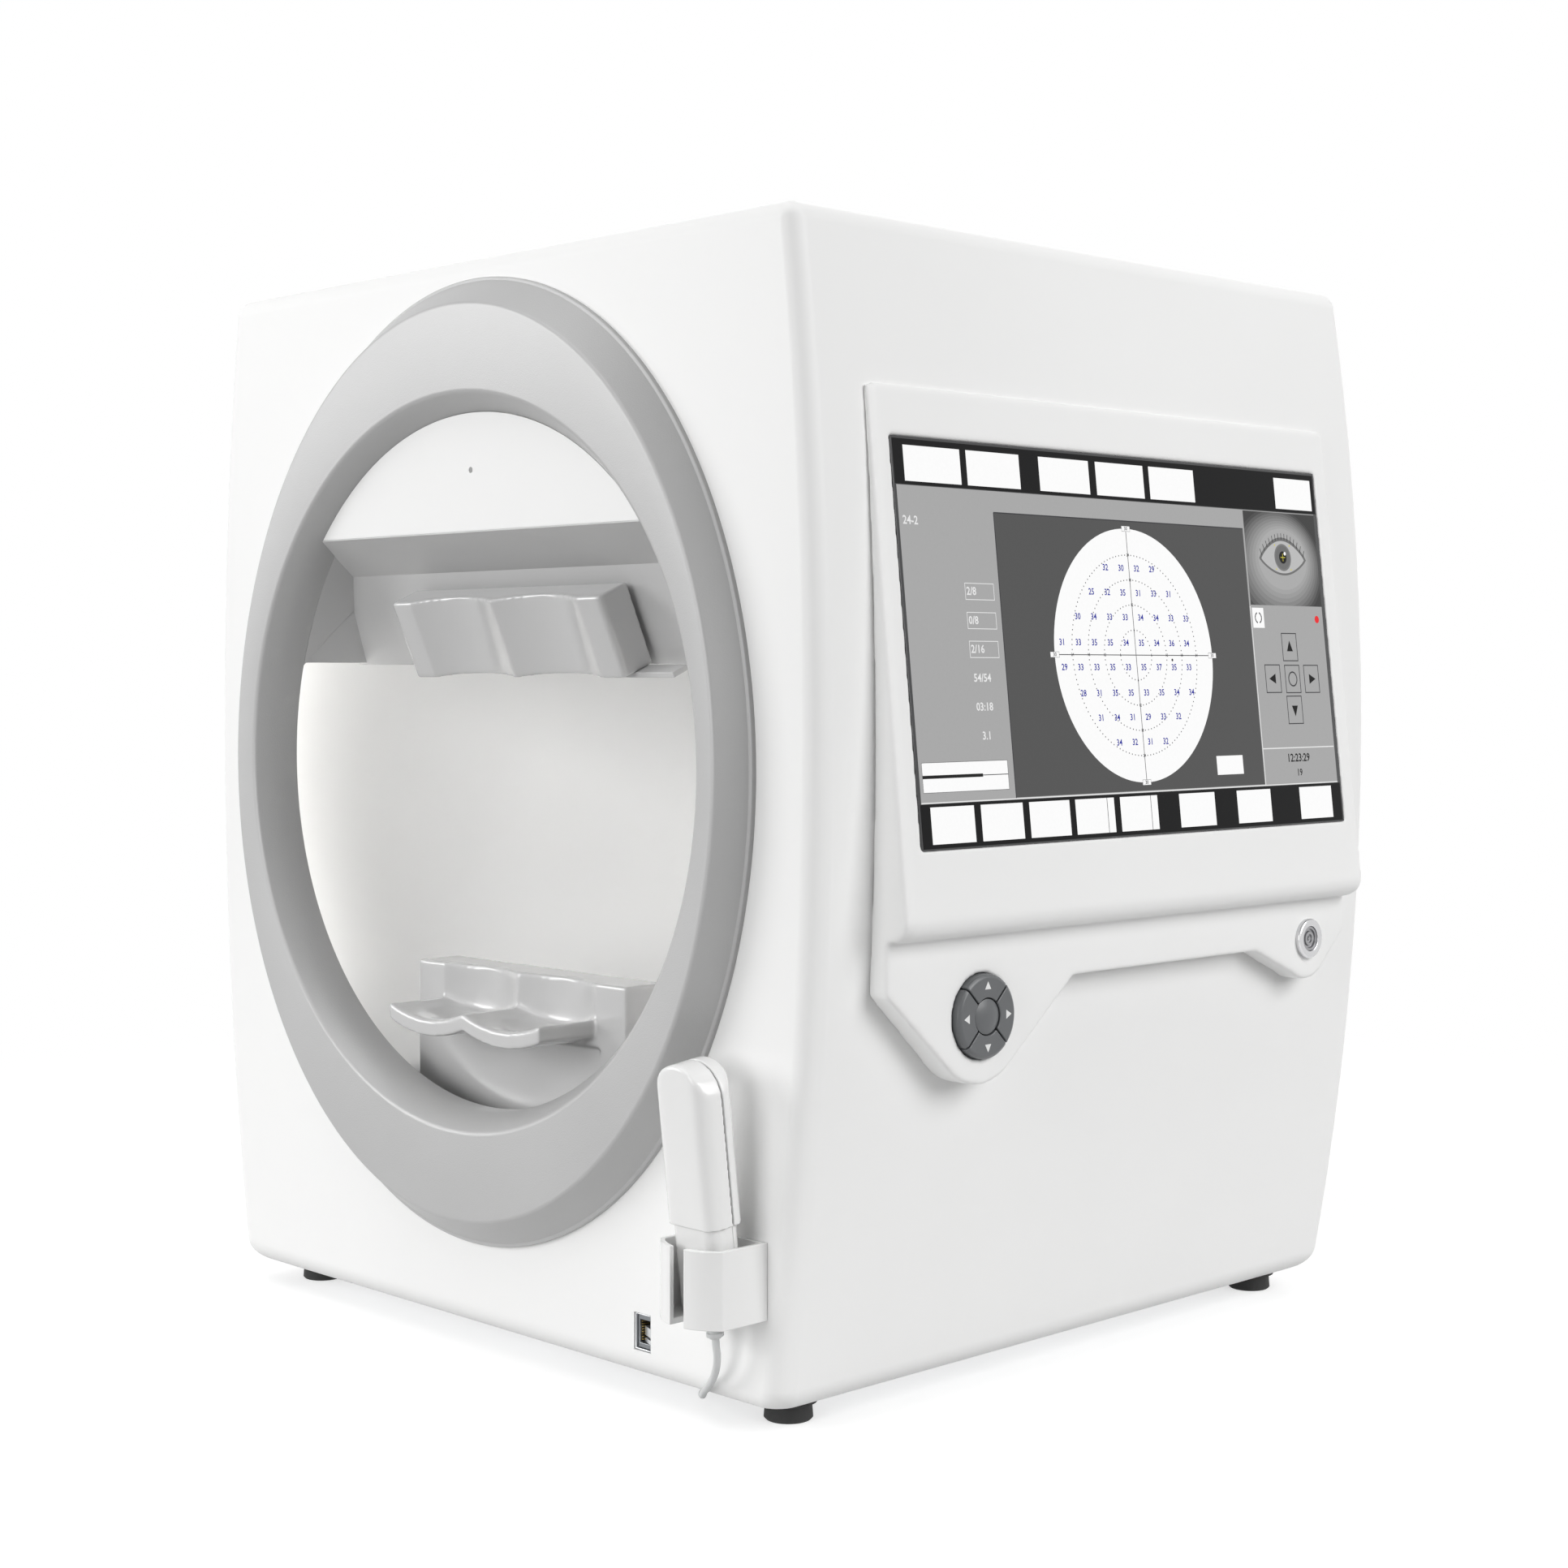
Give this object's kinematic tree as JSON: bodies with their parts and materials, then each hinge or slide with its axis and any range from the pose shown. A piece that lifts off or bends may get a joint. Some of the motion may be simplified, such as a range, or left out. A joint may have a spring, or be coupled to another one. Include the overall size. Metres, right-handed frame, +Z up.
{
  "type": "bowl perimeter",
  "caption": "Table-top visual-field analyser: bulging white casing with a round bowl opening, forehead pad, sliding chin rest, side screen with keys and a corded response handset in a holster.",
  "frame": {"origin": "on the table, in the casing's middle plane and at the middle of its depth, at the centre of the four feet", "axes": "+Z up, +X towards the side with the screen, -Y towards the patient"},
  "size_m": [0.5322, 0.4908, 0.5785],
  "materials": {
    "shell_white": "smooth, moulded in white",
    "cover_white": "fine grain, white",
    "bezel_grey": "fine grain, light grey",
    "bowl_white": "matt white coat",
    "rest_grey": "smooth, light grey",
    "beam_grey": "fine grain, grey",
    "key_grey": "dark grey",
    "black_plastic": "black, fine grain",
    "rubber_black": "black rubber",
    "sheet_steel": "plated sheet",
    "rod_steel": "ground",
    "screw_steel": "plated",
    "screw_brass": "turned",
    "frame_aluminium": "milled",
    "motor_black": "black paint",
    "ring_chrome": "polished",
    "screen_glass": "dark glass",
    "panel_grey": "folded metal back",
    "board_green": "lacquered board",
    "handset_white": "smooth white",
    "cord_grey": "light grey sheath",
    "plug_clear": "pale plug body",
    "lamp_cream": "light strip",
    "mirror_front": "front-coated"
  },
  "bodies": {
    "casing": {"main_shell": "shell_white", "rear_cover": "cover_white", "base_plate": "sheet_steel", "rubber_feet": "rubber_black", "housing_screws": "screw_steel", "opening_bezel": "bezel_grey", "bowl": "bowl_white", "bowl_light_ring": "lamp_cream", "brow_panel": "bowl_white", "brow_beam": "beam_grey", "forehead_switch": "black_plastic", "chin_mount": "frame_aluminium", "chin_z_rods": "rod_steel", "chin_z_motor": "motor_black", "projector_shelf": "frame_aluminium", "lamp_house": "motor_black", "wheel_motor": "frame_aluminium", "lens_barrel": "motor_black", "scan_motor": "motor_black", "eye_camera": "black_plastic", "screen_pod": "shell_white", "control_panel": "shell_white", "screen_glass": "screen_glass", "lcd_module": "panel_grey", "key_board": "board_green", "power_ring": "ring_chrome", "front_socket": "sheet_steel", "mains_inlet": "black_plastic", "fan_frame": "black_plastic", "main_board": "board_green", "power_supply": "sheet_steel", "holster": "handset_white", "response_cord": "cord_grey", "cord_coil": "cord_grey", "cord_plug": "plug_clear"},
    "chin_carriage": {"chin_lift_frame": "frame_aluminium", "chin_x_rods": "rod_steel", "chin_x_motor": "motor_black"},
    "chin": {"chin_rest": "rest_grey", "chin_slide": "black_plastic"},
    "lift_screw": {"chin_z_screw": "screw_brass"},
    "shift_screw": {"chin_x_screw": "screw_brass"},
    "forehead": {"forehead_pad": "rest_grey", "forehead_guides": "beam_grey"},
    "up_key": {"key_up": "key_grey"},
    "down_key": {"key_down": "key_grey"},
    "left_key": {"key_left": "key_grey"},
    "right_key": {"key_right": "key_grey"},
    "middle_key": {"key_middle": "key_grey"},
    "power_button": {"power_cap": "ring_chrome"},
    "handset": {"handset_shell": "handset_white", "handset_neck": "handset_white", "handset_switch": "board_green", "handset_strain_relief": "cord_grey"},
    "response_button": {"handset_button": "handset_white"},
    "rocker": {"mains_rocker": "black_plastic"},
    "fan": {"fan_rotor": "black_plastic"},
    "wheel": {"aperture_wheel": "black_plastic"},
    "yoke": {"scan_yoke": "frame_aluminium"},
    "mirror": {"scan_mirror": "mirror_front"}
  },
  "joints": [
    {"name": "chin_lift", "type": "slide", "parent": "casing", "child": "chin_carriage", "axis": [0, 0, 1], "range_m": [-0.02, 0.025]},
    {"name": "chin_shift", "type": "slide", "parent": "chin_carriage", "child": "chin", "axis": [1, 0, 0], "range_m": [-0.014, 0.014]},
    {"name": "lift_screw_turn", "type": "hinge", "parent": "casing", "child": "lift_screw", "pos_m": [0, -0.153, 0.087], "axis": [0, 0, 1], "range_deg": [-905, 1130]},
    {"name": "shift_screw_turn", "type": "hinge", "parent": "chin_carriage", "child": "shift_screw", "pos_m": [0, -0.183, 0.096], "axis": [1, 0, 0], "range_deg": [-1265, 1265]},
    {"name": "forehead_press", "type": "slide", "parent": "casing", "child": "forehead", "axis": [0, 0.9171, 0.3987], "range_m": [0, 0.0025], "stiffness_N_per_m": 1500},
    {"name": "key_up_press", "type": "slide", "parent": "casing", "child": "up_key", "axis": [-1, 0, 0], "range_m": [0, 0.001], "stiffness_N_per_m": 600},
    {"name": "key_down_press", "type": "slide", "parent": "casing", "child": "down_key", "axis": [-1, 0, 0], "range_m": [0, 0.001], "stiffness_N_per_m": 600},
    {"name": "key_left_press", "type": "slide", "parent": "casing", "child": "left_key", "axis": [-1, 0, 0], "range_m": [0, 0.001], "stiffness_N_per_m": 600},
    {"name": "key_right_press", "type": "slide", "parent": "casing", "child": "right_key", "axis": [-1, 0, 0], "range_m": [0, 0.001], "stiffness_N_per_m": 600},
    {"name": "key_middle_press", "type": "slide", "parent": "casing", "child": "middle_key", "axis": [-1, 0, 0], "range_m": [0, 0.001], "stiffness_N_per_m": 600},
    {"name": "power_press", "type": "slide", "parent": "casing", "child": "power_button", "axis": [-1, 0, 0], "range_m": [0, 0.002], "stiffness_N_per_m": 500},
    {"name": "handset_lift", "type": "slide", "parent": "casing", "child": "handset", "axis": [0, -0.1184, 0.993], "range_m": [0, 0.05]},
    {"name": "response_press", "type": "slide", "parent": "handset", "child": "response_button", "axis": [0, 0.993, 0.1184], "range_m": [0, 0.0006], "stiffness_N_per_m": 800},
    {"name": "rocker_swing", "type": "hinge", "parent": "casing", "child": "rocker", "pos_m": [0.123, 0.20957, 0.1565], "axis": [1, 0, 0], "range_deg": [-8, 8]},
    {"name": "fan_spin", "type": "hinge", "parent": "casing", "child": "fan", "pos_m": [-0.095, 0.206, 0.3955], "axis": [0, 1, 0], "continuous": true},
    {"name": "aperture_turn", "type": "hinge", "parent": "casing", "child": "wheel", "pos_m": [-0.046, -0.159, 0.477], "axis": [1, 0, 0], "continuous": true},
    {"name": "scan_pan", "type": "hinge", "parent": "casing", "child": "yoke", "pos_m": [0.08, -0.176, 0.457], "axis": [0, 0, 1], "range_deg": [-30, 30]},
    {"name": "scan_tilt", "type": "hinge", "parent": "yoke", "child": "mirror", "pos_m": [0.08, -0.176, 0.477], "axis": [0, 1, 0], "range_deg": [-15, 15]}
  ],
  "couplings": [
    {"joint": "lift_screw_turn", "follows": "chin_lift", "rad_per_m": 785.4},
    {"joint": "shift_screw_turn", "follows": "chin_shift", "rad_per_m": 1570.8}
  ]
}
